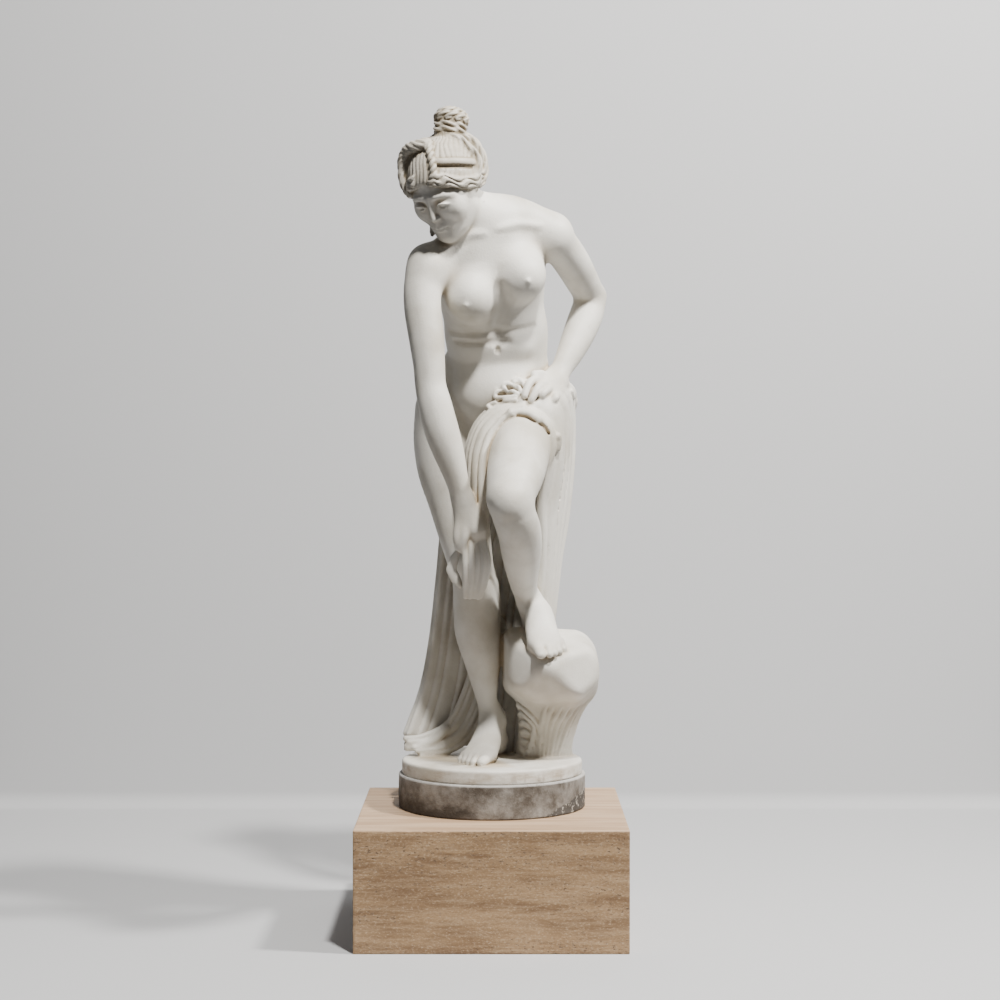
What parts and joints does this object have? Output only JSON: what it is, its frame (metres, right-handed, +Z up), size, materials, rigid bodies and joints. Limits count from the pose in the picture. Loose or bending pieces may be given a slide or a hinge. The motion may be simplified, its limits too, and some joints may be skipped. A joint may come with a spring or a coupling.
{
  "type": "marble statue",
  "caption": "Marble bather stooping over a raised knee with one foot on a boulder, cloth at the hip, on a round stone socle and a square travertine block.",
  "frame": {"origin": "centre of the travertine block's underside", "axes": "+Z up through the figure, -Y towards the viewer, +X to the viewer's right"},
  "size_m": [0.61, 0.61, 1.8829],
  "materials": {
    "white_marble": "aged white marble, honed, with warm grey stains in the hollows",
    "grey_stone": "weathered grey stone with dark stains and a pale crust",
    "travertine": "honed travertine with level bands and small open pores"
  },
  "bodies": {
    "root": {"marble_figure": "white_marble", "grey_socle": "grey_stone", "travertine_block": "travertine"}
  },
  "joints": []
}
